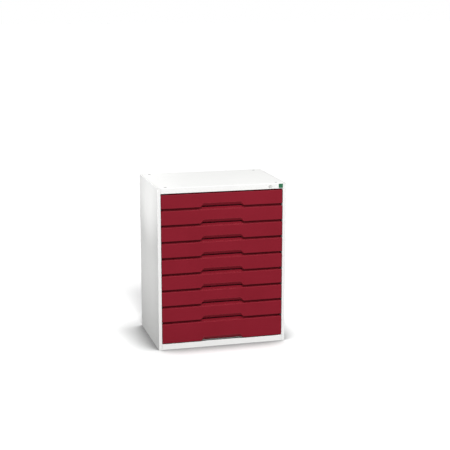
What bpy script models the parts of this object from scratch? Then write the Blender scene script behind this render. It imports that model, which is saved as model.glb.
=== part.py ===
"""Steel drawer cabinet: nine full-width drawers on telescopic slides in a folded sheet-steel housing,
with a central lock that lifts one vertical bar. Metres, +Z up, the drawers face -Y.
The origin is the centre of the base on the floor."""

import math

import bmesh
import bpy
from mathutils import Vector

# ---------------------------------------------------------------- driving dimensions
W, D, H = 0.800, 0.550, 1.000          # housing, outside
SHEET = 0.0012                         # folded sheet
GAP = 0.0004                           # between pieces that touch on the real cabinet
Y_FRAME = -0.2735                      # front plane of the posts, fascia and plinth
Y_SIDE_BACK = 0.2734                   # rear end of the side panels
POST = 0.0195                          # face width of each front post
SEAM = 0.0070                          # width of the side panels' flange along the top
GROOVE = 0.0014                        # open joint between that flange and the top sheet
OPEN_TOP, OPEN_BOTTOM = 0.9660, 0.0350 # the opening that the drawers fill

PITCH = 0.100                          # drawers 1 to 8
N = 9
FRONT_GAP = 0.0168                     # between two drawer fronts
FRONT_TOP = 0.95835                    # upper edge of drawer 1 if it kept the pitch
FIRST_TOP = 0.9572                     # its real upper edge, a little lower for clearance under the rail
FRONT_H = PITCH - FRONT_GAP
FRONT_LAST_BOTTOM = 0.0400
FRONT_HALF = W / 2 - POST - 0.0028
FRONT_Y = -0.2725                      # outer face of the drawer fronts, 1 mm behind the frame
FRONT_DEPTH = 0.0185
LIP, LIP_TOP = 0.0133, 0.0068          # rear lip above the front's upper edge: on drawers 2 to 9, and on drawer 1

SCOOP_LOW, SCOOP_HIGH = 0.137, 0.117   # half widths of the finger scoop, at the edge and at its top
SCOOP_Z, SCOOP_LIP = 0.024, 0.008      # top of the scoop and underside of its lip, above the edge
SCOOP_DEPTH = 0.009

TRAY_HALF = 0.350
TRAY_BACK = 0.235
TRAY_H, TRAY_H_LAST = 0.073, 0.104
TRAY_HEM = 0.008

SLIDE_Z = 0.0275                       # slide centre above the front's lower edge
SLIDE_Y0, SLIDE_Y1 = -0.2330, 0.2430
TRAVEL = 0.470

LOCK_X, LOCK_Z = 0.299, 0.983
LIFT = 0.0140
BAR_X0, BAR_X1 = 0.3695, 0.3720
BAR_Y0, BAR_Y1 = -0.2490, -0.2310

HOLE_X, HOLE_Y, HOLE_R = 0.345, 0.242, 0.0070


def front_span(k):
    """Lower and upper edge of drawer front k, 1 at the top."""
    top = FRONT_TOP - PITCH * (k - 1)
    return (FRONT_LAST_BOTTOM if k == N else top - FRONT_H), (FIRST_TOP if k == 1 else top)


# ---------------------------------------------------------------- scene helpers
for o in list(bpy.data.objects):
    bpy.data.objects.remove(o, do_unlink=True)

SCENE = bpy.context.scene.collection


def paint(name, rgb, roughness, metallic=0.0):
    m = bpy.data.materials.new(name)
    m.use_nodes = True
    b = m.node_tree.nodes["Principled BSDF"]
    b.inputs["Base Color"].default_value = (*rgb, 1.0)
    b.inputs["Roughness"].default_value = roughness
    b.inputs["Metallic"].default_value = metallic
    return m


SHELL = paint("housing_paint", (0.84, 0.85, 0.83), 0.45)
CRIMSON = paint("drawer_paint", (0.27, 0.016, 0.028), 0.42)
BODY = paint("tray_paint", (0.72, 0.73, 0.72), 0.45)
ZINC = paint("zinc_plate", (0.62, 0.63, 0.64), 0.35, 0.9)
CHROME = paint("lock_metal", (0.75, 0.75, 0.76), 0.2, 1.0)
GREEN = paint("badge_green", (0.02, 0.30, 0.13), 0.35)


def raw(bm, name="tmp"):
    bmesh.ops.recalc_face_normals(bm, faces=bm.faces)
    me = bpy.data.meshes.new(name)
    bm.to_mesh(me)
    bm.free()
    o = bpy.data.objects.new(name, me)
    SCENE.objects.link(o)
    return o


def box(x0, x1, y0, y1, z0, z1):
    bm = bmesh.new()
    bmesh.ops.create_cube(bm, size=1.0)
    for v in bm.verts:
        v.co = Vector((x0 if v.co.x < 0 else x1, y0 if v.co.y < 0 else y1, z0 if v.co.z < 0 else z1))
    return raw(bm)


def prism(outline, axis, a, b):
    """The outline extruded from a to b along axis. Its two coordinates are the other two axes, in X, Y, Z order."""
    i = "XYZ".index(axis)

    def at(p, s):
        q = list(p)
        q.insert(i, s)
        return q

    bm = bmesh.new()
    face = bm.faces.new([bm.verts.new(at(p, a)) for p in outline])
    out = bmesh.ops.extrude_face_region(bm, geom=[face])
    step = Vector(at((0, 0), b - a))
    bmesh.ops.translate(bm, vec=step, verts=[g for g in out["geom"] if isinstance(g, bmesh.types.BMVert)])
    return raw(bm)


def strip(path, t=SHEET):
    """Closed outline of a folded sheet: the path is its one face, and the sheet lies t to the left of the path's direction."""
    n = len(path)
    normals = []
    for p, q in zip(path, path[1:]):
        d = Vector((q[0] - p[0], q[1] - p[1])).normalized()
        normals.append(Vector((-d.y, d.x)))
    other = []
    for i, p in enumerate(path):
        if i in (0, n - 1):
            m = normals[0 if i == 0 else -1] * t
        else:
            s = normals[i - 1] + normals[i]
            m = s * (t / (s.dot(normals[i])))
        other.append((p[0] + m.x, p[1] + m.y))
    return list(path) + other[::-1]


def hull(points):
    bm = bmesh.new()
    vs = [bm.verts.new(p) for p in points]
    r = bmesh.ops.convex_hull(bm, input=vs)
    loose = [v for v in bm.verts if not v.link_faces]
    bmesh.ops.delete(bm, geom=loose, context="VERTS")
    return raw(bm)


def turned(profile, centre, steps):
    """A profile of (radius, y) points spun about the Y axis through centre (x, z)."""
    bm = bmesh.new()
    rings = []
    for r, y in profile:
        if r == 0:
            rings.append([bm.verts.new((centre[0], y, centre[1]))])
        else:
            rings.append([
                bm.verts.new((centre[0] + r * math.cos(a), y, centre[1] + r * math.sin(a)))
                for a in (2 * math.pi * i / steps for i in range(steps))
            ])
    pairs = list(zip(rings, rings[1:])) + ([(rings[-1], rings[0])] if len(rings[0]) > 1 else [])
    for p, q in pairs:
        for i in range(steps):
            j = (i + 1) % steps
            if len(p) == 1 and len(q) == 1:
                continue
            if len(p) == 1:
                bm.faces.new((p[0], q[i], q[j]))
            elif len(q) == 1:
                bm.faces.new((p[i], q[0], p[j]))
            else:
                bm.faces.new((p[i], q[i], q[j], p[j]))
    return raw(bm)


def combine(base, others, operation):
    """Boolean of base with each of others, one after the other, with the result kept in base."""
    for other in others:
        mod = base.modifiers.new("b", "BOOLEAN")
        mod.operation = operation
        mod.solver = "EXACT"
        mod.object = other
        bpy.context.view_layer.update()
        graph = bpy.context.evaluated_depsgraph_get()
        me = bpy.data.meshes.new_from_object(base.evaluated_get(graph))
        base.modifiers.clear()
        base.data = me
        bpy.data.objects.remove(other, do_unlink=True)
    return base


def join(base, *others):
    return combine(base, others, "UNION")


def cut(base, *others):
    return combine(base, others, "DIFFERENCE")


def node(o, name, material, origin=(0, 0, 0), parent=None):
    """Names the solid, sets its origin and material, and puts it under its parent."""
    o.name = name
    o.data.name = name
    o.data.materials.clear()
    o.data.materials.append(material)
    here = Vector(origin)
    for v in o.data.vertices:
        v.co -= here
    o.location = here
    if parent is not None:
        o.parent = parent
        o.matrix_parent_inverse.identity()
        o.location = here - parent.location
    for p in o.data.polygons:
        p.use_smooth = True
    o.data.set_sharp_from_angle(angle=math.radians(35))
    return o


def empty(name, at):
    e = bpy.data.objects.new(name, None)
    e.location = at
    SCENE.objects.link(e)
    return e


# ---------------------------------------------------------------- housing
def side_panel(s):
    """Outer skin, boxed front post and rear flange folded from one sheet, with a narrow flange along the top. s is -1 left, +1 right."""
    h = W / 2
    path = [
        (s * (h - POST), Y_FRAME + 0.0200),
        (s * (h - POST), Y_FRAME),
        (s * h, Y_FRAME),
        (s * h, Y_SIDE_BACK),
        (s * (h - POST), Y_SIDE_BACK),
    ]
    outline = strip(path if s > 0 else path[::-1])
    body = prism(outline, "Z", 0.0, H - 0.0016)
    # the outer skin alone reaches the top, and its flange turns in over the post
    skin = box(*sorted((s * h, s * (h - SHEET))), Y_FRAME, Y_SIDE_BACK, H - 0.0040, H)
    top = box(*sorted((s * h, s * (h - SEAM))), Y_FRAME, Y_SIDE_BACK, H - SHEET, H)
    return join(body, join(skin, top))


def top_panel():
    """Top sheet with the front fascia folded down in front and a short flange behind."""
    x = W / 2 - POST - GAP
    yb = Y_SIDE_BACK - GAP
    path = [
        (Y_FRAME + 0.0200, OPEN_TOP),
        (Y_FRAME, OPEN_TOP),
        (Y_FRAME, H),
        (yb, H),
        (yb, H - 0.015),
    ]
    fold = prism(strip(path[::-1]), "X", -x, x)
    xs = W / 2 - SEAM - GROOVE
    sheet = box(-xs, xs, Y_FRAME, yb, H - SHEET, H)
    o = join(fold, sheet)
    for sx in (-1, 1):
        for sy in (-1, 1):
            bm = bmesh.new()
            bmesh.ops.create_cone(bm, cap_ends=True, segments=16, radius1=HOLE_R, radius2=HOLE_R, depth=0.01)
            bmesh.ops.translate(bm, vec=(sx * HOLE_X, sy * HOLE_Y, H), verts=bm.verts)
            cut(o, raw(bm))
    cut(o, turned([(0, Y_FRAME - 0.002), (0.0094, Y_FRAME - 0.002), (0.0094, Y_FRAME + 0.004), (0, Y_FRAME + 0.004)],
                  (LOCK_X, LOCK_Z), 24))
    return o


def base_pan():
    """Floor sheet with the plinth folded down in front, a rear wall, and flanges turned in to stand on."""
    x = W / 2 - POST - GAP
    yb = Y_SIDE_BACK - GAP
    path = [
        (Y_FRAME + 0.030, 0.0),
        (Y_FRAME, 0.0),
        (Y_FRAME, OPEN_BOTTOM),
        (yb, OPEN_BOTTOM),
        (yb, 0.0),
        (yb - 0.030, 0.0),
    ]
    return prism(strip(path[::-1]), "X", -x, x)


def back_panel():
    return box(-W / 2, W / 2, Y_SIDE_BACK + GAP, D / 2, 0.0, H)


def c_profile(s, x_web, x_end, zc, half, t):
    """Outline in X and Z of a C, its web at x_web and its legs reaching x_end, on side s."""
    path = [(s * x_end, zc + half), (s * x_web, zc + half), (s * x_web, zc - half), (s * x_end, zc - half)]
    return strip(path if (s < 0) == (x_end < x_web) else path[::-1], t)


def runner_rack(s):
    """Two uprights with the fixed members of nine slides welded across them."""
    uprights = []
    for y0, y1 in ((-0.228, -0.198), (0.213, 0.243)):
        path = [(s * 0.3980, y0), (s * 0.3675, y0), (s * 0.3675, y1), (s * 0.3980, y1)]
        uprights.append(prism(strip(path if s < 0 else path[::-1], 0.0015), "Z", OPEN_BOTTOM + 0.0010, OPEN_TOP - 0.0010))
    rails = []
    for k in range(1, N + 1):
        zc = front_span(k)[0] + SLIDE_Z
        rails.append(prism(c_profile(s, 0.3680, 0.3565, zc, 0.0225, 0.0015), "Y", SLIDE_Y0 - 0.002, SLIDE_Y1 + 0.002))
    return join(uprights[0], *rails, uprights[1])


# ---------------------------------------------------------------- drawers
def drawer_front(k):
    """Folded pan, open behind, with a finger scoop pressed into the middle of its lower edge."""
    z0, z1 = front_span(k)
    x, y0, y1, t = FRONT_HALF, FRONT_Y, FRONT_Y + FRONT_DEPTH, SHEET
    o = box(-x, x, y0, y1, z0, z1)
    cut(o, box(-x + t, x - t, y0 + t, y1 + 0.01, z0 + t, z1 - t))
    # opening for the fingers: through the skin up to the lip, and through the lower flange
    cut(o, hull([(sx * a, y, z0 + z) for sx in (-1, 1) for y in (y0 - 0.002, y0 + t + 0.002)
                 for a, z in ((SCOOP_LOW + 0.0002, -0.003), (SCOOP_LOW, 0.0), (SCOOP_HIGH, SCOOP_Z))]))
    cut(o, box(-SCOOP_LOW + 0.006, SCOOP_LOW - 0.006, y0 - 0.001, y1 + 0.001, z0 - 0.002, z0 + t + 0.0005))

    def wedge(g, drop, ahead):
        """The pressed-in space, grown by g."""
        return hull([(sx * (a + g), y, z0 + z) for sx in (-1, 1) for a, y, z in (
            (SCOOP_LOW, y0 - ahead, -drop), (SCOOP_LOW, y0 - ahead, 0.0),
            (SCOOP_HIGH, y0 - ahead, SCOOP_Z + g * 0.8), (SCOOP_HIGH, y0 + g * 0.2, SCOOP_Z + g * 0.8),
            (SCOOP_HIGH + 0.003, y0 + SCOOP_DEPTH + g, SCOOP_LIP + g * 0.3),
            (SCOOP_LOW - 0.009, y0 + SCOOP_DEPTH + g, -drop),
        )])

    # lip that closes the view into the gap above the front
    join(o, box(-x + 0.004, x - 0.004, y1 - t, y1, z1 - 0.0006, z1 + (LIP_TOP if k == 1 else LIP)))

    shell = wedge(t, 0.0, 0.0)
    cut(shell, wedge(0.0, 0.003, 0.002))
    xr = SCOOP_LOW - 0.012
    cut(shell, box(-xr, xr, y0 + SCOOP_DEPTH - 0.0012, y0 + 0.013, z0 - 0.002, z0 + SCOOP_LIP))
    join(o, shell)
    return o


def drawer_tray(k):
    """Open-topped box with hemmed edges, the inner panel that closes the front, the slides' inner members and the lock catch."""
    z0, z1 = front_span(k)
    t = SHEET
    zb = z0 + 0.002
    zt = zb + (TRAY_H_LAST if k == N else TRAY_H)
    yf, yb, x = FRONT_Y + FRONT_DEPTH, TRAY_BACK, TRAY_HALF
    o = box(-x, x, yf - 0.0006, yb, zb, zt)
    cut(o, box(-x + t, x - t, yf - 0.0006 + t, yb - t, zb + t, zt + 0.01))
    extra = []
    # hems, turned in along the sides and the back
    for s in (-1, 1):
        path = [(s * (x - TRAY_HEM), zt), (s * x, zt), (s * x, zt - 0.004)]
        extra.append(prism(strip(path if s < 0 else path[::-1], t), "Y", yf + 0.0002, yb))
    extra.append(box(-x, x, yb - TRAY_HEM, yb, zt - t, zt))
    # inner panel behind the front, inside its flanges
    xi = FRONT_HALF - t - GAP
    extra.append(box(-xi, xi, yf - 0.0018, yf - 0.0004, z0 + t + GAP, z1 - t - GAP))
    # inner slide members
    for s in (-1, 1):
        extra.append(prism(c_profile(s, 0.3495, 0.3600, z0 + SLIDE_Z, 0.0165, 0.0012), "Y", -0.2310, TRAY_BACK - 0.001))
    # catch for the lock bar
    extra.append(box(x - 0.0006, 0.3640, -0.2410, -0.2360, z0 + 0.0600, z0 + 0.0720))
    return join(o, *extra)


def slide_member(k, s):
    zc = front_span(k)[0] + SLIDE_Z
    return prism(c_profile(s, 0.3630, 0.3555, zc, 0.0195, 0.0012), "Y", SLIDE_Y0, SLIDE_Y1)


# ---------------------------------------------------------------- lock
def lock_housing():
    c, f = (LOCK_X, LOCK_Z), -D / 2
    return turned([(0.0072, f), (0.0108, f), (0.0112, f + 0.0004), (0.0112, Y_FRAME - 0.0003), (0.0090, Y_FRAME - 0.0003),
                   (0.0090, -0.2495), (0.0072, -0.2495)], c, 24)


def lock_nut():
    return turned([(0.0094, Y_FRAME + SHEET + 0.0003), (0.0125, Y_FRAME + SHEET + 0.0003), (0.0125, -0.2690), (0.0094, -0.2690)],
                  (LOCK_X, LOCK_Z), 24)


def lock_plug():
    c, f = (LOCK_X, LOCK_Z), -D / 2
    o = turned([(0, f + 0.0002), (0.0068, f + 0.0002), (0.0068, -0.2492), (0.0038, -0.2492), (0.0038, -0.2463), (0, -0.2463)], c, 20)
    return cut(o, box(c[0] - 0.0007, c[0] + 0.0007, f - 0.001, f + 0.006, c[1] - 0.0040, c[1] + 0.0040))


def lock_cam():
    """Plate on the end of the plug, its nose hanging down at rest."""
    x, z = LOCK_X, LOCK_Z
    y0, y1 = -0.2488, -0.2466
    hub = [(x + 0.0085 * math.cos(a), z + 0.0085 * math.sin(a)) for a in (math.radians(20 * i - 25) for i in range(12))]
    nose = [(x - 0.0033, z - 0.0140), (x - 0.0020, z - 0.0152), (x + 0.0020, z - 0.0152), (x + 0.0033, z - 0.0140)]
    o = prism(hub + nose, "Y", y0, y1)
    return cut(o, turned([(0, y0 - 0.001), (0.0042, y0 - 0.001), (0.0042, y1 + 0.001), (0, y1 + 0.001)], (x, z), 16))


def cam_screw():
    c = (LOCK_X, LOCK_Z)
    o = turned([(0, -0.2459), (0.0056, -0.2459), (0.0056, -0.2440), (0.0044, -0.2432), (0, -0.2432)], c, 16)
    return cut(o, box(c[0] - 0.0050, c[0] + 0.0050, -0.2440, -0.2420, c[1] - 0.0006, c[1] + 0.0006))


def lock_bar():
    """Vertical bar with a tooth for each drawer, and an arm at the top that reaches over to the cam."""
    o = box(BAR_X0, BAR_X1, BAR_Y0, BAR_Y1, 0.060, 0.9800)
    parts = [box(LOCK_X + 0.0118, BAR_X1, BAR_Y0, BAR_Y0 + 0.0025, 0.9745, 0.9800)]
    for k in range(1, N + 1):
        z0 = front_span(k)[0]
        parts.append(box(0.3560, BAR_X0 + 0.0008, BAR_Y0, BAR_Y0 + 0.0060, z0 + 0.0515, z0 + 0.0575))
    return join(o, *parts)


def bar_guide(z):
    """Strap that holds the bar to the front upright."""
    path = [(0.3686, -0.2288), (0.3745, -0.2288), (0.3745, -0.2515), (0.3686, -0.2515)]
    return prism(strip(path[::-1], 0.0012), "Z", z - 0.010, z + 0.010)


def badge():
    """Plain square plate."""
    o = box(0.3535, 0.3795, Y_FRAME - 0.0011, Y_FRAME - 0.0003, LOCK_Z - 0.013, LOCK_Z + 0.013)
    return o


# ---------------------------------------------------------------- assembly
cabinet = empty("cabinet", (0, 0, 0))
node(side_panel(-1), "side_panel_left", SHELL, parent=cabinet)
node(side_panel(1), "side_panel_right", SHELL, parent=cabinet)
node(top_panel(), "top_panel", SHELL, parent=cabinet)
node(base_pan(), "base_pan", SHELL, parent=cabinet)
node(back_panel(), "back_panel", SHELL, parent=cabinet)
node(runner_rack(-1), "runner_rack_left", ZINC, parent=cabinet)
node(runner_rack(1), "runner_rack_right", ZINC, parent=cabinet)
node(badge(), "badge_plate", GREEN, parent=cabinet)
node(lock_housing(), "lock_housing", CHROME, (LOCK_X, Y_FRAME, LOCK_Z), cabinet)
node(lock_nut(), "lock_nut", ZINC, (LOCK_X, Y_FRAME, LOCK_Z), cabinet)
node(bar_guide(0.905), "bar_guide_upper", ZINC, parent=cabinet)
node(bar_guide(0.130), "bar_guide_lower", ZINC, parent=cabinet)

turn = empty("lock_turn", (LOCK_X, Y_FRAME, LOCK_Z))
node(lock_plug(), "lock_plug", CHROME, (LOCK_X, Y_FRAME, LOCK_Z), turn)
node(lock_cam(), "lock_cam", ZINC, (LOCK_X, Y_FRAME, LOCK_Z), turn)
node(cam_screw(), "cam_screw", ZINC, (LOCK_X, Y_FRAME, LOCK_Z), turn)
node(lock_bar(), "lock_bar", ZINC, (BAR_X0, BAR_Y0, 0.06))

for k in range(1, N + 1):
    z0 = front_span(k)[0]
    drawer = empty(f"drawer_{k}", (0, FRONT_Y, z0))
    node(drawer_front(k), f"drawer_{k}_front", CRIMSON, (0, FRONT_Y, z0), drawer)
    node(drawer_tray(k), f"drawer_{k}_tray", BODY, (0, FRONT_Y, z0), drawer)
    for s, side in ((-1, "left"), (1, "right")):
        node(slide_member(k, s), f"drawer_{k}_slide_{side}", ZINC, (s * 0.363, SLIDE_Y0, z0 + SLIDE_Z))
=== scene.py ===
import math

import bmesh
import bpy
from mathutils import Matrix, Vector


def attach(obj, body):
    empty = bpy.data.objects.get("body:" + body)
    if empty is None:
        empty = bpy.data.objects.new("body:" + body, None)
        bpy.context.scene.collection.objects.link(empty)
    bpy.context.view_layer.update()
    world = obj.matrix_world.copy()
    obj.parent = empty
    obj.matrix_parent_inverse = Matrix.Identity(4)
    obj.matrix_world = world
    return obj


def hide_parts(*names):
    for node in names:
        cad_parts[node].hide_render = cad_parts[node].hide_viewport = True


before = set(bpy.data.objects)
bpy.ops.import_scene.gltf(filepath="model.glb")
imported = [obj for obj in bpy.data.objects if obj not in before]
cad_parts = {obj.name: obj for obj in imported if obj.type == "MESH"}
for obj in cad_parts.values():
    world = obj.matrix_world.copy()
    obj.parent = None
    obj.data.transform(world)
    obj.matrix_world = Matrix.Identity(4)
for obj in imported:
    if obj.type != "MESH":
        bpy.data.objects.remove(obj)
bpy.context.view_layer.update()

W, D, H = 0.800, 0.550, 1.000
HX = W / 2
YF, YB = -0.2735, 0.2734            # front plane of the frame, rear of the side panels
POST = 0.0195
SHEET = 0.0012
OPEN_TOP, OPEN_BOTTOM = 0.9660, 0.0350
N = 9
SLIDE_Z = 0.0275
LOCK_X, LOCK_Z = 0.299, 0.983
SCENE = bpy.context.scene


# ------------------------------------------------------------------ camera and light
def camera():
    data = bpy.data.cameras.new("camera")
    data.lens, data.sensor_width = 90.26, 36.0
    data.clip_start, data.clip_end = 0.1, 200
    cam = bpy.data.objects.new("camera", data)
    yaw, pitch = math.radians(15.073), math.radians(11.96)
    forward = Vector((math.sin(yaw) * math.cos(pitch), math.cos(yaw) * math.cos(pitch), -math.sin(pitch)))
    cam.location = (-1.720, -6.716, 2.1715)
    cam.rotation_euler = forward.to_track_quat("-Z", "Y").to_euler()
    SCENE.collection.objects.link(cam)
    SCENE.camera = cam


def area(name, at, to, size, power, colour=(1, 1, 1)):
    data = bpy.data.lights.new(name, "AREA")
    data.shape, data.size, data.size_y = "RECTANGLE", size[0], size[1]
    data.energy, data.color = power, colour
    o = bpy.data.objects.new(name, data)
    o.location = at
    o.rotation_euler = (Vector(to) - Vector(at)).to_track_quat("-Z", "Y").to_euler()
    SCENE.collection.objects.link(o)
    return o


def sun(name, azimuth, elevation, angle, strength):
    """A broad, even light from a direction: azimuth 0 shines from the front, and 90 from the right."""
    data = bpy.data.lights.new(name, "SUN")
    data.energy, data.angle = strength, math.radians(angle)
    o = bpy.data.objects.new(name, data)
    a, e = math.radians(azimuth), math.radians(elevation)
    back = Vector((math.sin(a) * math.cos(e), -math.cos(a) * math.cos(e), math.sin(e)))
    o.rotation_euler = (-back).to_track_quat("-Z", "Y").to_euler()
    o.location = back * 4
    SCENE.collection.objects.link(o)


def spot(name, at, to, cone, radius, power):
    data = bpy.data.lights.new(name, "SPOT")
    data.spot_size, data.spot_blend, data.shadow_soft_size, data.energy = math.radians(cone), 1.0, radius, power
    o = bpy.data.objects.new(name, data)
    o.location = at
    o.rotation_euler = (Vector(to) - Vector(at)).to_track_quat("-Z", "Y").to_euler()
    SCENE.collection.objects.link(o)


def studio():
    world = bpy.data.worlds.new("studio")
    SCENE.world = world
    world.use_nodes = True
    t = world.node_tree
    t.nodes.clear()
    out = t.nodes.new("ShaderNodeOutputWorld")
    mix = t.nodes.new("ShaderNodeMixShader")
    seen, light = t.nodes.new("ShaderNodeBackground"), t.nodes.new("ShaderNodeBackground")
    path = t.nodes.new("ShaderNodeLightPath")
    seen.inputs["Color"].default_value = (1, 1, 1, 1)
    seen.inputs["Strength"].default_value = 1.0
    light.inputs["Color"].default_value = (1, 1, 1, 1)
    light.inputs["Strength"].default_value = 0.36
    t.links.new(path.outputs["Is Camera Ray"], mix.inputs[0])
    t.links.new(light.outputs[0], mix.inputs[1])
    t.links.new(seen.outputs[0], mix.inputs[2])
    t.links.new(mix.outputs[0], out.inputs["Surface"])
    sun("key", -8, 46, 14, 2.17)
    sun("overhead", 88, 77, 18, 0.68)
    area("front_top", (1.0, -2.5, 2.7), (0.1, -0.27, 0.85), (1.6, 1.0), 42)
    spot("left", (-3.6, -0.7, 1.5), (-0.4, 0, 0.52), 17.0, 0.5, 475)
    spot("right", (3.6, 0.4, 0.98), (0.4, 0, 0.62), 18, 0.4, 170)
    spot("back", (0.3, 4.2, 0.98), (0, 0.27, 0.62), 20, 0.4, 190)
    spot("left_high", (-3.6, -0.7, 0.98), (-0.4, 0, 1.13), 19.5, 0.02, 265)
    SCENE.view_settings.view_transform = "Standard"


# ------------------------------------------------------------------ mesh helpers
def link(bm, name):
    me = bpy.data.meshes.new(name)
    bm.to_mesh(me)
    bm.free()
    o = bpy.data.objects.new(name, me)
    SCENE.collection.objects.link(o)
    return o


def polygons(bm, faces):
    """Adds polygons, with one vertex for each place."""
    seen = {}

    def vert(p):
        key = tuple(round(c * 1e6) for c in p)
        if key not in seen:
            seen[key] = bm.verts.new(p)
        return seen[key]

    return [bm.faces.new([vert(p) for p in f]) for f in faces]


def skin(name, faces, radius=0.0016, segments=3, t=SHEET, inward=None, edge_at=None):
    """A folded sheet: the faces are its outer side, every fold gets the radius, and the sheet lies t behind them.
    inward is a point on the sheet's inner side."""
    bm = bmesh.new()
    polygons(bm, faces)
    bmesh.ops.recalc_face_normals(bm, faces=bm.faces)
    bm.normal_update()
    if inward is not None:
        far = max(bm.faces, key=lambda f: f.calc_area())
        if (far.calc_center_median() - Vector(inward)).dot(far.normal) < 0:
            bmesh.ops.reverse_faces(bm, faces=bm.faces)
    folds = [e for e in bm.edges if len(e.link_faces) == 2 and e.calc_face_angle() > math.radians(12)]
    if radius and folds:
        made = bmesh.ops.bevel(bm, geom=folds, offset=radius, offset_type="OFFSET", segments=segments, profile=0.5,
                               affect="EDGES", clamp_overlap=True)
        # marks the fold vertices, where the powder coat paints its highlight
        mark = bm.verts.layers.float.new("edge")
        turned_faces = set(made["faces"])
        for v in bm.verts:
            if v.link_faces and all(f in turned_faces for f in v.link_faces):
                v[mark] = 1.0
    o = link(bm, name)
    s = o.modifiers.new("sheet", "SOLIDIFY")
    s.thickness, s.offset = t, -1.0
    s.use_even_offset = True
    s.thickness_clamp = 1.6
    return o


def settle(o):
    """Applies the modifiers to the mesh."""
    bpy.context.view_layer.update()
    graph = bpy.context.evaluated_depsgraph_get()
    me = bpy.data.meshes.new_from_object(o.evaluated_get(graph))
    o.modifiers.clear()
    old = o.data
    o.data = me
    me.name = o.name
    bpy.data.meshes.remove(old)
    return o


def merge(name, parts):
    """One object from several, each with its modifiers applied and its material slots kept."""
    bm = bmesh.new()
    mats = []
    for o in parts:
        settle(o)
        mine = [m for m in o.data.materials]
        first = len(bm.faces)
        bm.from_mesh(o.data)
        bm.faces.ensure_lookup_table()
        for f in bm.faces[first:]:
            m = mine[f.material_index] if mine else None
            if m is not None:
                if m not in mats:
                    mats.append(m)
                f.material_index = mats.index(m)
        old = o.data
        bpy.data.objects.remove(o)
        bpy.data.meshes.remove(old)
    o = link(bm, name)
    for m in mats:
        o.data.materials.append(m)
    return o


def boolean(o, cutter, operation="DIFFERENCE"):
    m = o.modifiers.new("b", "BOOLEAN")
    m.operation, m.solver, m.object = operation, "EXACT", cutter
    settle(o)
    old = cutter.data
    bpy.data.objects.remove(cutter)
    bpy.data.meshes.remove(old)
    return o


def smooth(o, degrees=32):
    """Smooth shading across the folds, with the flat faces kept flat."""
    for p in o.data.polygons:
        p.use_smooth = True
    o.data.set_sharp_from_angle(angle=math.radians(degrees))
    w = o.modifiers.new("flat faces", "WEIGHTED_NORMAL")
    w.mode, w.weight, w.keep_sharp = "FACE_AREA", 100, True
    return o


def strip(path, t):
    """Closed outline of a bent strip, t thick to the left of the path."""
    normals = []
    for p, q in zip(path, path[1:]):
        d = Vector((q[0] - p[0], q[1] - p[1])).normalized()
        normals.append(Vector((-d.y, d.x)))
    other = []
    for i, p in enumerate(path):
        if i in (0, len(path) - 1):
            m = normals[0 if i == 0 else -1] * t
        else:
            s = normals[i - 1] + normals[i]
            m = s * (t / s.dot(normals[i]))
        other.append((p[0] + m.x, p[1] + m.y))
    return other


def rounded(path, r, n=4):
    """The path with each inner corner turned on radius r."""
    out = [path[0]]
    for a, b, c in zip(path, path[1:], path[2:]):
        a, b, c = Vector(a), Vector(b), Vector(c)
        u, v = (a - b).normalized(), (c - b).normalized()
        half = u.angle(v) / 2
        reach = r / math.tan(half)
        reach = min(reach, (a - b).length * 0.49, (c - b).length * 0.49)
        rr = reach * math.tan(half)
        centre = b + (u + v).normalized() * (rr / math.sin(half))
        p, q = b + u * reach - centre, b + v * reach - centre
        for i in range(n + 1):
            w = i / n
            d = p.normalized().slerp(q.normalized(), w) if p.length > 1e-9 else p
            out.append(tuple(centre + d * rr))
    out.append(path[-1])
    return out


def channel(name, path, axis, a, b, t, r=0.0012, n=3):
    """A rolled or folded section run along an axis: t thick, to the left of the path, with rounded folds and closed ends."""
    one = rounded(path, r, n) if r else list(path)
    two = strip(one, t)
    i = "XYZ".index(axis)

    def at(p, s):
        q = [p[0], p[1]]
        q.insert(i, s)
        return q

    bm = bmesh.new()
    rings = [[[bm.verts.new(at(p, s)) for p in side] for side in (one, two)] for s in (a, b)]
    m = len(one)
    for k in range(m - 1):
        for side in (0, 1):
            bm.faces.new((rings[0][side][k], rings[0][side][k + 1], rings[1][side][k + 1], rings[1][side][k]))
        for end in (0, 1):
            bm.faces.new((rings[end][0][k], rings[end][0][k + 1], rings[end][1][k + 1], rings[end][1][k]))
    for k in (0, m - 1):
        bm.faces.new((rings[0][0][k], rings[0][1][k], rings[1][1][k], rings[1][0][k]))
    bmesh.ops.recalc_face_normals(bm, faces=bm.faces)
    return link(bm, name)


def block(name, lo, hi, bevel=0.0003, segments=2):
    """A small solid block with eased edges."""
    bm = bmesh.new()
    x0, y0, z0 = lo
    x1, y1, z1 = hi
    v = [bm.verts.new((x, y, z)) for x in (x0, x1) for y in (y0, y1) for z in (z0, z1)]
    for f in ((0, 1, 3, 2), (4, 6, 7, 5), (0, 4, 5, 1), (2, 3, 7, 6), (0, 2, 6, 4), (1, 5, 7, 3)):
        bm.faces.new([v[i] for i in f])
    bmesh.ops.recalc_face_normals(bm, faces=bm.faces)
    if bevel:
        bmesh.ops.bevel(bm, geom=list(bm.edges), offset=bevel, segments=segments, profile=0.5, affect="EDGES")
    return link(bm, name)


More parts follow.
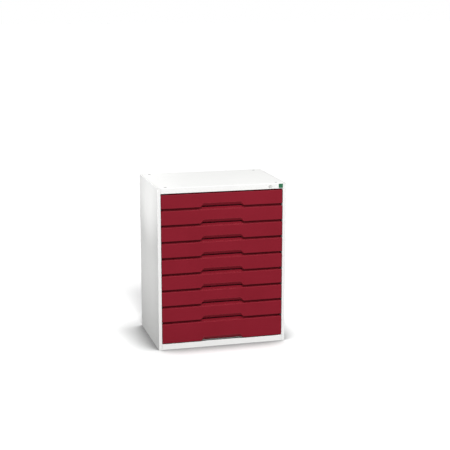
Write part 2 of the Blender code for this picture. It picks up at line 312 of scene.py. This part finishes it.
def turned(name, profile, centre, steps=64, axis="Y"):
    """A closed profile of (radius, distance along the axis) spun about the axis through centre."""
    bm = bmesh.new()
    rings = []
    for r, d in profile:
        if r < 1e-7:
            ring = [(0.0, 0.0)]
        else:
            ring = [(r * math.cos(2 * math.pi * i / steps), r * math.sin(2 * math.pi * i / steps)) for i in range(steps)]
        if axis == "Y":
            rings.append([bm.verts.new((centre[0] + u, d, centre[2] + v)) for u, v in ring])
        elif axis == "X":
            rings.append([bm.verts.new((d, centre[1] + u, centre[2] + v)) for u, v in ring])
        else:
            rings.append([bm.verts.new((centre[0] + u, centre[1] + v, d)) for u, v in ring])
    pairs = list(zip(rings, rings[1:]))
    if len(rings[0]) > 1:
        pairs.append((rings[-1], rings[0]))
    for p, q in pairs:
        for i in range(steps):
            j = (i + 1) % steps
            if len(p) == 1 and len(q) == 1:
                continue
            if len(p) == 1:
                bm.faces.new((p[0], q[i], q[j]))
            elif len(q) == 1:
                bm.faces.new((p[i], q[0], p[j]))
            else:
                bm.faces.new((p[i], q[i], q[j], p[j]))
    bmesh.ops.recalc_face_normals(bm, faces=bm.faces)
    return link(bm, name)


def put(o, body, *nodes, slot=None, material=None, angle=32):
    """Rides the piece on its body, in place of the nodes, with its material. The slot argument is not used."""
    if material is not None and not o.data.materials:
        o.data.materials.append(material)
    smooth(o, angle)
    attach(o, body)
    if nodes:
        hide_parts(*nodes)
    return o


# ------------------------------------------------------------------ materials
def principled(name):
    m = bpy.data.materials.new(name)
    m.use_nodes = True
    t = m.node_tree
    return m, t, t.nodes["Principled BSDF"]


def node(t, kind, **values):
    n = t.nodes.new(kind)
    for k, v in values.items():
        if k in n.inputs:
            n.inputs[k].default_value = v
        else:
            setattr(n, k, v)
    return n


def ramp(t, source, stops):
    n = t.nodes.new("ShaderNodeValToRGB")
    e = n.color_ramp.elements
    while len(e) < len(stops):
        e.new(0.5)
    for item, (p, c) in zip(e, stops):
        item.position = p
        item.color = (*c, 1) if len(c) == 3 else c
    t.links.new(source, n.inputs["Fac"])
    return n


def grey(v):
    return (v, v, v)


def powder(name, light, dark, rough=(0.40, 0.52), specular=0.5, grain=900, bump=0.10, fold_highlight_tint=None):
    """Powder coat: fine orange-peel grain, slow mottling of the colour, and roughness that follows it. The fold tint is
    a painted highlight along the folds, broken into patches, where the paint is also thinner.
    """
    m, t, b = principled(name)
    b.inputs["Specular IOR Level"].default_value = specular
    place = node(t, "ShaderNodeTexCoord")
    slow = node(t, "ShaderNodeTexNoise", Scale=5.5, Detail=3.0, Roughness=0.5)
    fine = node(t, "ShaderNodeTexNoise", Scale=grain, Detail=2.0, Roughness=0.55)
    peel = node(t, "ShaderNodeTexNoise", Scale=grain * 0.28, Detail=1.0, Roughness=0.4)
    for n in (slow, fine, peel):
        t.links.new(place.outputs["Object"], n.inputs["Vector"])
    base = ramp(t, slow.outputs["Fac"], [(0.30, dark), (0.70, light)])
    speck = node(t, "ShaderNodeMix", data_type="RGBA", blend_type="MULTIPLY")
    speck.inputs[0].default_value = 0.10
    t.links.new(base.outputs["Color"], speck.inputs[6])
    shade = ramp(t, fine.outputs["Fac"], [(0.35, grey(0.72)), (0.62, grey(1.0))])
    t.links.new(shade.outputs["Color"], speck.inputs[7])
    colour = speck.outputs[2]
    # painted highlight: the folds marked in skin() take the lighter fold tint, in patches
    if fold_highlight_tint is not None:
        edge = node(t, "ShaderNodeAttribute", attribute_name="edge")
        fold_highlight_mask = node(t, "ShaderNodeMath", operation="MULTIPLY")
        t.links.new(edge.outputs["Fac"], fold_highlight_mask.inputs[0])
        fold_highlight_patches = ramp(t, peel.outputs["Fac"], [(0.30, grey(0.35)), (0.75, grey(1.0))])
        t.links.new(fold_highlight_patches.outputs["Color"], fold_highlight_mask.inputs[1])
        mix = node(t, "ShaderNodeMix", data_type="RGBA")
        t.links.new(fold_highlight_mask.outputs[0], mix.inputs[0])
        t.links.new(colour, mix.inputs[6])
        mix.inputs[7].default_value = (*fold_highlight_tint, 1)
        colour = mix.outputs[2]
    t.links.new(colour, b.inputs["Base Color"])
    r = node(t, "ShaderNodeMapRange")
    r.inputs["To Min"].default_value, r.inputs["To Max"].default_value = rough
    t.links.new(peel.outputs["Fac"], r.inputs["Value"])
    t.links.new(r.outputs["Result"], b.inputs["Roughness"])
    add = node(t, "ShaderNodeMath", operation="MULTIPLY_ADD")
    t.links.new(peel.outputs["Fac"], add.inputs[0])
    add.inputs[1].default_value = 1.6
    t.links.new(fine.outputs["Fac"], add.inputs[2])
    bp = node(t, "ShaderNodeBump", Strength=bump, Distance=0.00025)
    t.links.new(add.outputs[0], bp.inputs["Height"])
    t.links.new(bp.outputs["Normal"], b.inputs["Normal"])
    return m


def zinc(name, light=(0.62, 0.63, 0.65), dark=(0.46, 0.47, 0.50), rough=(0.26, 0.46), stretch=(1, 1, 1), metal=1.0):
    """Zinc plate: spangle, faint drawn lines and cloudy roughness."""
    m, t, b = principled(name)
    b.inputs["Metallic"].default_value = metal
    place = node(t, "ShaderNodeTexCoord")
    spangle = node(t, "ShaderNodeTexVoronoi", Scale=160.0)
    t.links.new(place.outputs["Object"], spangle.inputs["Vector"])
    cloud = node(t, "ShaderNodeTexNoise", Scale=30.0, Detail=4.0)
    t.links.new(place.outputs["Object"], cloud.inputs["Vector"])
    lines_at = node(t, "ShaderNodeMapping")
    lines_at.inputs["Scale"].default_value = stretch
    t.links.new(place.outputs["Object"], lines_at.inputs["Vector"])
    lines = node(t, "ShaderNodeTexNoise", Scale=1400.0, Detail=2.0)
    t.links.new(lines_at.outputs["Vector"], lines.inputs["Vector"])
    mix = node(t, "ShaderNodeMath", operation="MULTIPLY_ADD")
    t.links.new(spangle.outputs["Distance"], mix.inputs[0])
    mix.inputs[1].default_value = 0.35
    t.links.new(cloud.outputs["Fac"], mix.inputs[2])
    c = ramp(t, mix.outputs[0], [(0.35, dark), (0.80, light)])
    t.links.new(c.outputs["Color"], b.inputs["Base Color"])
    r = node(t, "ShaderNodeMapRange")
    r.inputs["To Min"].default_value, r.inputs["To Max"].default_value = rough
    t.links.new(cloud.outputs["Fac"], r.inputs["Value"])
    t.links.new(r.outputs["Result"], b.inputs["Roughness"])
    bp = node(t, "ShaderNodeBump", Strength=0.12, Distance=0.0001)
    t.links.new(lines.outputs["Fac"], bp.inputs["Height"])
    t.links.new(bp.outputs["Normal"], b.inputs["Normal"])
    return m


# the fold tints given below are painted highlights along the folds, lighter than each paint
HOUSING = powder("housing_powder_coat", (0.785, 0.787, 0.775), (0.765, 0.767, 0.757), specular=0.3, fold_highlight_tint=(0.83, 0.83, 0.82))
CRIMSON = powder("crimson_powder_coat", (0.213, 0.0080, 0.0194), (0.196, 0.0068, 0.0166), rough=(0.42, 0.54), specular=0.16,
                 fold_highlight_tint=(0.36, 0.030, 0.045))
TRAY = powder("tray_powder_coat", (0.60, 0.61, 0.60), (0.56, 0.57, 0.565), fold_highlight_tint=(0.66, 0.66, 0.65))
ZINC_Y = zinc("zinc_drawn_y", stretch=(1, 0.03, 1))
ZINC_Z = zinc("zinc_drawn_z", stretch=(1, 1, 0.03))
NICKEL = zinc("satin_nickel", light=(0.80, 0.80, 0.78), dark=(0.70, 0.70, 0.68), rough=(0.30, 0.42), metal=0.35)
NYLON = powder("grey_nylon", (0.30, 0.30, 0.305), (0.27, 0.27, 0.275), rough=(0.48, 0.60), specular=0.35, grain=500, bump=0.03)
GREEN = powder("green_enamel", (0.030, 0.155, 0.075), (0.024, 0.130, 0.062), rough=(0.24, 0.32), grain=500, bump=0.03,
               fold_highlight_tint=(0.10, 0.30, 0.18))


# ------------------------------------------------------------------ housing
def housing():
    for s, side in ((-1, "left"), (1, "right")):
        h, zt = s * HX, H - 0.0016
        xi, xs = s * (HX - POST), s * (HX - 0.0070)
        faces = [
            [(h, YF, 0), (h, YF, zt), (h, YF, H), (h, YB, H), (h, YB, zt), (h, YB, 0)],
            [(h, YF, H), (xs, YF, H), (xs, YB, H), (h, YB, H)],
            [(h, YF, 0), (xi, YF, 0), (xi, YF, zt), (h, YF, zt)],
            [(xi, YF, 0), (xi, YF + 0.02, 0), (xi, YF + 0.02, zt), (xi, YF, zt)],
            [(h, YB, 0), (xi, YB, 0), (xi, YB, zt), (h, YB, zt)],
        ]
        o = skin(f"side_{side}", faces, radius=0.0018, inward=(0, 0, 0.5))
        settle(o)
        put(o, "cabinet", f"side_panel_{side}", slot="housing_paint", material=HOUSING)

    xf, xs, yb = HX - POST - 0.0004, HX - 0.0070 - 0.0014, YB - 0.0004
    ring = [
        (-xs, YF, H), (-xf, YF, H), (xf, YF, H), (xs, YF, H), (xs, yb, H), (xf, yb, H), (-xf, yb, H), (-xs, yb, H)]
    faces = [
        ring,
        [(-xf, YF, H), (xf, YF, H), (xf, YF, OPEN_TOP), (-xf, YF, OPEN_TOP)],
        [(-xf, YF, OPEN_TOP), (xf, YF, OPEN_TOP), (xf, YF + 0.02, OPEN_TOP), (-xf, YF + 0.02, OPEN_TOP)],
        [(-xf, yb, H), (xf, yb, H), (xf, yb, H - 0.015), (-xf, yb, H - 0.015)],
    ]
    o = skin("top_cover", faces, radius=0.0018, inward=(0, 0, 0.5))
    settle(o)
    for sx in (-1, 1):
        for sy in (-1, 1):
            at = (sx * 0.345, sy * 0.242, 0)
            boolean(o, turned("c", [(0, H - 0.01), (0.0094, H - 0.01), (0.0094, H - 0.0006), (0.0100, H + 0.0006), (0, H + 0.0006)],
                              at, steps=40, axis="Z"))
            bush = turned(f"hole_bush_{'fb'[sy > 0]}{'lr'[sx > 0]}", [(0.0052, H - 0.0040), (0.0092, H - 0.0040), (0.0092, H - 0.0008),
                          (0.0090, H - 0.0003), (0.0060, H - 0.0003), (0.0054, H - 0.0009)], at, 40, axis="Z")
            put(bush, "cabinet", material=NYLON)
    boolean(o, turned("c", [(0, YF - 0.002), (0.0094, YF - 0.002), (0.0094, YF + 0.004), (0, YF + 0.004)], (LOCK_X, 0, LOCK_Z), steps=48))
    put(o, "cabinet", "top_panel", slot="housing_paint", material=HOUSING)

    # the pan is pressed down behind the plinth's edge, between the racks
    z, zg, yl, yg, xg = OPEN_BOTTOM, OPEN_BOTTOM - 0.006, YF + 0.0042, -0.2330, 0.352
    cols, rows = (-xf, -xg, xg, xf), (YF, yl, yg, yb)
    faces = [[(cols[i], rows[j], z), (cols[i + 1], rows[j], z), (cols[i + 1], rows[j + 1], z), (cols[i], rows[j + 1], z)]
             for i in range(3) for j in range(3) if (i, j) != (1, 1)]
    faces += [
        [(-xg, yl, zg), (xg, yl, zg), (xg, yg, zg), (-xg, yg, zg)],
        [(-xg, yl, z), (xg, yl, z), (xg, yl, zg), (-xg, yl, zg)],
        [(-xg, yg, zg), (xg, yg, zg), (xg, yg, z), (-xg, yg, z)],
        [(-xg, yl, z), (-xg, yl, zg), (-xg, yg, zg), (-xg, yg, z)],
        [(xg, yl, z), (xg, yg, z), (xg, yg, zg), (xg, yl, zg)],
        [(-xf, YF, 0), (xf, YF, 0), (xf, YF, z), (xg, YF, z), (-xg, YF, z), (-xf, YF, z)],
        [(-xf, YF, 0), (xf, YF, 0), (xf, YF + 0.03, 0), (-xf, YF + 0.03, 0)],
        [(-xf, yb, 0), (xf, yb, 0), (xf, yb, z), (xg, yb, z), (-xg, yb, z), (-xf, yb, z)],
        [(-xf, yb, 0), (xf, yb, 0), (xf, yb - 0.03, 0), (-xf, yb - 0.03, 0)],
    ]
    o = skin("base_with_plinth", faces, radius=0.0014, inward=(0, 0, 0.01))
    settle(o)
    put(o, "cabinet", "base_pan", slot="housing_paint", material=HOUSING)

    back()


def back():
    """Rear sheet with two pressed panels, held by blind rivets."""
    y = D / 2 - 0.0008
    xs = [-HX, -0.352, -0.340, 0.340, 0.352, HX]
    zs = [0.0, 0.050, 0.062, 0.480, 0.492, 0.508, 0.520, 0.938, 0.950, H]
    deep = 0.0035

    def level(i, j):
        return y - deep if 2 <= i <= 3 and j in (2, 3, 6, 7) else y

    faces = []
    for i in range(len(xs) - 1):
        for j in range(len(zs) - 1):
            faces.append([(xs[a], level(a, b), zs[b]) for a, b in ((i, j), (i + 1, j), (i + 1, j + 1), (i, j + 1))])
    bm = bmesh.new()
    polygons(bm, faces)
    bmesh.ops.triangulate(bm, faces=[f for f in bm.faces if len(f.verts) == 4 and
                                     max(abs((v.co - f.verts[0].co).dot(f.normal)) for v in f.verts) > 1e-7])
    bmesh.ops.recalc_face_normals(bm, faces=bm.faces)
    big = max(bm.faces, key=lambda f: f.calc_area())
    if big.normal.y < 0:
        bmesh.ops.reverse_faces(bm, faces=bm.faces)
    folds = [e for e in bm.edges if len(e.link_faces) == 2 and e.calc_face_angle() > math.radians(6)]
    bmesh.ops.bevel(bm, geom=folds, offset=0.0022, segments=3, profile=0.5, affect="EDGES", clamp_overlap=True)
    o = link(bm, "back_sheet")
    s = o.modifiers.new("sheet", "SOLIDIFY")
    s.thickness, s.offset = 0.0010, -1.0
    settle(o)
    put(o, "cabinet", "back_panel", slot="housing_paint", material=HOUSING)
    spots = [(s * (HX - 0.0095), z) for s in (-1, 1) for z in (0.06, 0.236, 0.412, 0.588, 0.764, 0.94)]
    spots += [(x, H - 0.0085) for x in (-0.26, 0.0, 0.26)] + [(x, 0.018) for x in (-0.26, 0.0, 0.26)]
    heads = [turned("r", [(0, y + 0.0008), (0.0016, y + 0.00075), (0.0030, y + 0.0006), (0.0038, y + 0.0003), (0.0039, y), (0.0020, y - 0.0004), (0, y - 0.0004)],
                    (x, 0, z), steps=20) for x, z in spots]
    put(merge("back_rivets", heads), "cabinet", slot="housing_paint", material=HOUSING)


# ------------------------------------------------------------------ drawers
FRONT_X, FRONT_Y, FRONT_D = HX - POST - 0.0028, -0.2725, 0.0185
SCOOP_LOW, SCOOP_HIGH, SCOOP_Z, SCOOP_LIP, SCOOP_DEPTH = 0.137, 0.117, 0.024, 0.008, 0.009


def span(k):
    top = 0.95835 - 0.1 * (k - 1)
    return (0.04 if k == N else top - 0.0832), (0.9572 if k == 1 else top)


def front(k):
    """Folded front with its scoop, the lip along its upper edge, and the painted panel that closes it behind."""
    z0, z1 = span(k)
    x, y0, y1 = FRONT_X, FRONT_Y, FRONT_Y + FRONT_D
    a, b, zs, zl = SCOOP_LOW, SCOOP_HIGH, z0 + SCOOP_Z, z0 + SCOOP_LIP
    yd = y0 + SCOOP_DEPTH
    ai, bi = a - 0.009, b + 0.003
    zu = z1 + (0.0068 if k == 1 else 0.0133)
    faces = [
        [(-x, y0, z0), (-a, y0, z0), (-a, y0, z1), (-x, y0, z1)],
        [(-a, y0, z0), (-b, y0, zs), (-b, y0, z1), (-a, y0, z1)],
        [(-b, y0, zs), (b, y0, zs), (b, y0, z1), (-b, y0, z1)],
        [(b, y0, zs), (a, y0, z0), (a, y0, z1), (b, y0, z1)],
        [(a, y0, z0), (x, y0, z0), (x, y0, z1), (a, y0, z1)],
        [(-x, y0, z1), (-a, y0, z1), (-b, y0, z1), (b, y0, z1), (a, y0, z1), (x, y0, z1), (x, y1, z1), (x - 0.004, y1, z1),
         (-x + 0.004, y1, z1), (-x, y1, z1)],
        [(-x + 0.004, y1, z1), (x - 0.004, y1, z1), (x - 0.006, y1, zu), (-x + 0.006, y1, zu)],
    ]
    for s in (-1, 1):
        faces += [
            [(s * x, y0, z0), (s * x, y0, z1), (s * x, y1, z1), (s * x, y1, z0)],
            [(s * x, y0, z0), (s * a, y0, z0), (s * ai, yd, z0), (s * ai, y1, z0), (s * x, y1, z0)],
            [(s * a, y0, z0), (s * b, y0, zs), (s * bi, yd, zl), (s * ai, yd, z0)],
        ]
    faces.append([(-b, y0, zs), (b, y0, zs), (bi, yd, zl), (-bi, yd, zl)])
    o = skin(f"drawer_{k}_face", faces, radius=0.0013, segments=3, inward=(0, 0, (z0 + z1) / 2))
    settle(o)
    put(o, f"drawer_{k}", f"drawer_{k}_front", slot="drawer_paint", material=CRIMSON)

    xi, yi = x - 0.0016, y1 - 0.0018
    inner = block(f"drawer_{k}_inner_panel", (-xi, yi, z0 + 0.0016), (xi, yi + 0.0010, z1 - 0.0016), 0.0003)
    put(inner, f"drawer_{k}", slot="drawer_paint", material=CRIMSON)


TRAY_X, TRAY_BACK, HEM = 0.350, 0.235, 0.008


def tray(k):
    """Folded box with hemmed, mitred edges and slots for partitions, and an inner slide member on each side."""
    z0, z1 = span(k)
    zb = z0 + 0.002
    zt = zb + (0.104 if k == N else 0.073)
    x, yf, yb, h = TRAY_X, FRONT_Y + FRONT_D - 0.0006, TRAY_BACK, HEM
    faces = [
        [(-x, yf, zb), (x, yf, zb), (x, yb, zb), (-x, yb, zb)],
        [(-x, yf, zb), (-x, yb, zb), (-x, yb, zt), (-x, yf, zt)],
        [(x, yf, zb), (x, yb, zb), (x, yb, zt), (x, yf, zt)],
        [(-x, yb, zb), (x, yb, zb), (x, yb, zt), (-x, yb, zt)],
        [(-x, yf, zb), (x, yf, zb), (x, yf, zt), (-x, yf, zt)],
        [(-x, yf, zt), (-x, yb, zt), (-x + h, yb - h, zt), (-x + h, yf + 0.0016, zt)],
        [(x, yf, zt), (x, yb, zt), (x - h, yb - h, zt), (x - h, yf + 0.0016, zt)],
        [(-x, yb, zt), (x, yb, zt), (x - h, yb - h, zt), (-x + h, yb - h, zt)],
    ]
    o = skin(f"drawer_{k}_box", faces, radius=0.0014, segments=3, inward=(0, 0, zb + 0.02))
    settle(o)
    cutters = []
    top = zt - 0.0085
    for i in range(18):
        y = -0.212 + i * 0.025
        cutters.append(block("c", (-x - 0.003, y - 0.0015, z0 + 0.0475), (x + 0.003, y + 0.0015, top), 0))
    boolean(o, merge("cutters", cutters))
    cutters = []
    for i in range(13):
        u = -0.300 + i * 0.050
        cutters.append(block("c", (u - 0.0015, yb - 0.004, zb + 0.014), (u + 0.0015, yb + 0.002, top), 0))
        cutters.append(block("c", (u - 0.0015, yf + 0.0002, zb + 0.014), (u + 0.0015, yf + 0.004, top), 0))
    boolean(o, merge("cutters", cutters))
    o.data.materials.append(TRAY)
    rails = []
    for s in (-1, 1):
        zc = z0 + SLIDE_Z
        path = [(s * 0.3600, zc + 0.0165), (s * 0.3495, zc + 0.0165), (s * 0.3495, zc - 0.0165), (s * 0.3600, zc - 0.0165)]
        r = channel("inner", path if s > 0 else path[::-1], "Y", -0.2310, TRAY_BACK - 0.001, 0.0012, r=0.0016)
        r.data.materials.append(ZINC_Y)
        rails.append(r)
    catch = block("catch", (0.3496, -0.2410, z0 + 0.0600), (0.3640, -0.2360, z0 + 0.0720), 0.0005)
    catch.data.materials.append(ZINC_Y)
    put(o, f"drawer_{k}", f"drawer_{k}_tray", slot="tray_paint")
    put(merge(f"drawer_{k}_inner_members", rails + [catch]), f"drawer_{k}", slot="zinc_plate")


def slides(k):
    z0 = span(k)[0]
    zc = z0 + SLIDE_Z
    for s, side in ((-1, "left"), (1, "right")):
        path = [(s * 0.3555, zc + 0.0195), (s * 0.3630, zc + 0.0195), (s * 0.3630, zc - 0.0195), (s * 0.3555, zc - 0.0195)]
        o = channel("m", path if s < 0 else path[::-1], "Y", -0.2330, 0.2430, 0.0012, r=0.0020, n=4)
        o.data.materials.append(ZINC_Y)
        put(merge(f"drawer_{k}_member_{side}", [o]), f"member_{k}_{side}", f"drawer_{k}_slide_{side}", slot="zinc_plate")


# ------------------------------------------------------------------ inside the housing
def racks():
    for s, side in ((-1, "left"), (1, "right")):
        parts = []
        for y0, y1 in ((-0.228, -0.198), (0.213, 0.243)):
            path = [(s * 0.3980, y0), (s * 0.3675, y0), (s * 0.3675, y1), (s * 0.3980, y1)]
            u = channel("u", path if s < 0 else path[::-1], "Z", OPEN_BOTTOM + 0.001, OPEN_TOP - 0.001, 0.0015, r=0.0018)
            cutters = []
            ym = (y0 + y1) / 2
            for i in range(36):
                z = 0.058 + i * 0.025
                cutters.append(block("c", (min(s * 0.3665, s * 0.3700), ym - 0.0065, z), (max(s * 0.3665, s * 0.3700), ym + 0.0065, z + 0.004), 0))
            boolean(u, merge("cutters", cutters))
            u.data.materials.append(ZINC_Z)
            parts.append(u)
        for k in range(1, N + 1):
            zc = span(k)[0] + SLIDE_Z
            path = [(s * 0.3565, zc + 0.0225), (s * 0.3674, zc + 0.0225), (s * 0.3674, zc - 0.0225), (s * 0.3565, zc - 0.0225)]
            r = channel("r", path if s < 0 else path[::-1], "Y", -0.2350, 0.2450, 0.0012, r=0.0022, n=4)
            r.data.materials.append(ZINC_Y)
            parts.append(r)
        put(merge(f"rack_{side}", parts), "cabinet", f"runner_rack_{side}", slot="zinc_plate")


def lock():
    f = -D / 2
    c = (LOCK_X, 0, LOCK_Z)
    ring = turned("lock_ring", [(0.0073, f + 0.0008), (0.0076, f + 0.0002), (0.0081, f), (0.0100, f), (0.0107, f + 0.0002), (0.0111, f + 0.0007),
                                (0.0112, f + 0.0012), (0.0112, YF - 0.0003), (0.0090, YF - 0.0003), (0.0090, -0.2495), (0.0073, -0.2495)], c, 64)
    put(ring, "cabinet", "lock_housing", slot="lock_metal", material=NICKEL)
    plug = turned("lock_plug_face", [(0, f + 0.0006), (0.0058, f + 0.0006), (0.0064, f + 0.0008), (0.0068, f + 0.0013), (0.0068, -0.2492),
                                     (0.0038, -0.2492), (0.0038, -0.2463), (0, -0.2463)], c, 48)
    boolean(plug, block("c", (LOCK_X - 0.0008, f - 0.001, LOCK_Z - 0.0042), (LOCK_X + 0.0008, f + 0.007, LOCK_Z + 0.0042), 0))
    boolean(plug, block("c", (LOCK_X - 0.0016, f - 0.001, LOCK_Z - 0.0012), (LOCK_X - 0.0004, f + 0.007, LOCK_Z + 0.0006), 0))
    put(plug, "lock_core", "lock_plug", slot="lock_metal", material=NICKEL)
    nut = []
    for i in range(1):
        bm = bmesh.new()
        ys = (YF + SHEET + 0.0003, -0.2690)
        rings = []
        for y in ys:
            outer = [bm.verts.new((LOCK_X + 0.0125 * math.cos(math.pi * (2 * j + 1) / 6), y, LOCK_Z + 0.0125 * math.sin(math.pi * (2 * j + 1) / 6))) for j in range(6)]
            inner = [bm.verts.new((LOCK_X + 0.0094 * math.cos(2 * math.pi * j / 36), y, LOCK_Z + 0.0094 * math.sin(2 * math.pi * j / 36))) for j in range(36)]
            rings.append((outer, inner))
        for j in range(6):
            bm.faces.new((rings[0][0][j], rings[0][0][(j + 1) % 6], rings[1][0][(j + 1) % 6], rings[1][0][j]))
        for j in range(36):
            bm.faces.new((rings[0][1][j], rings[0][1][(j + 1) % 36], rings[1][1][(j + 1) % 36], rings[1][1][j]))
        for outer, inner in rings:
            for j in range(6):
                start = 6 * j + 3
                arc = [inner[(start + i) % 36] for i in range(7)]
                bm.faces.new([outer[j], outer[(j + 1) % 6]] + arc[::-1])
        bmesh.ops.recalc_face_normals(bm, faces=bm.faces)
        nut = link(bm, "lock_hex_nut")
    put(nut, "cabinet", "lock_nut", slot="zinc_plate", material=ZINC_Z)
    plate = block("badge", (0.3535, YF - 0.0011, LOCK_Z - 0.013), (0.3795, YF - 0.0003, LOCK_Z + 0.013), 0.00035, 3)
    put(plate, "cabinet", "badge_plate", slot="badge_green", material=GREEN)


camera()
studio()
housing()
racks()
lock()
for k in range(1, N + 1):
    front(k)
    tray(k)
    slides(k)

for name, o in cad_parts.items():
    if o.hide_render:
        continue
    o.data.materials.clear()
    o.data.materials.append(ZINC_Z)

bm = bmesh.new()
bmesh.ops.create_grid(bm, x_segments=1, y_segments=1, size=60)
floor = link(bm, "floor")
fm = bpy.data.materials.new("floor_white_painted_shadow")
fm.use_nodes = True
ft = fm.node_tree
ft.nodes.clear()
f_out, f_mix, f_path = (ft.nodes.new(n) for n in ("ShaderNodeOutputMaterial", "ShaderNodeMixShader", "ShaderNodeLightPath"))
f_seen, f_bounce = ft.nodes.new("ShaderNodeBsdfDiffuse"), ft.nodes.new("ShaderNodeBsdfDiffuse")
# painted contact shadow: ambient occlusion darkens the floor's colour near the cabinet's base, for camera rays only
shade = ft.nodes.new("ShaderNodeAmbientOcclusion")
shade.samples = 16
shade.inputs["Distance"].default_value = 0.24
f_painted_shadow_tone = ft.nodes.new("ShaderNodeValToRGB")
f_painted_shadow_tone.color_ramp.elements[0].position, f_painted_shadow_tone.color_ramp.elements[0].color = 0.48, (0.20, 0.20, 0.20, 1)
f_painted_shadow_tone.color_ramp.elements[1].position, f_painted_shadow_tone.color_ramp.elements[1].color = 1.0, (1.0, 1.0, 1.0, 1)
f_mid = f_painted_shadow_tone.color_ramp.elements.new(0.74)
f_mid.color = (0.68, 0.68, 0.68, 1)
ft.links.new(shade.outputs["AO"], f_painted_shadow_tone.inputs["Fac"])
ft.links.new(f_painted_shadow_tone.outputs["Color"], f_seen.inputs["Color"])
f_bounce.inputs["Color"].default_value = (0.30, 0.30, 0.30, 1)
ft.links.new(f_path.outputs["Is Camera Ray"], f_mix.inputs[0])
ft.links.new(f_bounce.outputs[0], f_mix.inputs[1])
ft.links.new(f_seen.outputs[0], f_mix.inputs[2])
ft.links.new(f_mix.outputs[0], f_out.inputs["Surface"])
floor.data.materials.append(fm)
floor.location.z = -0.0002
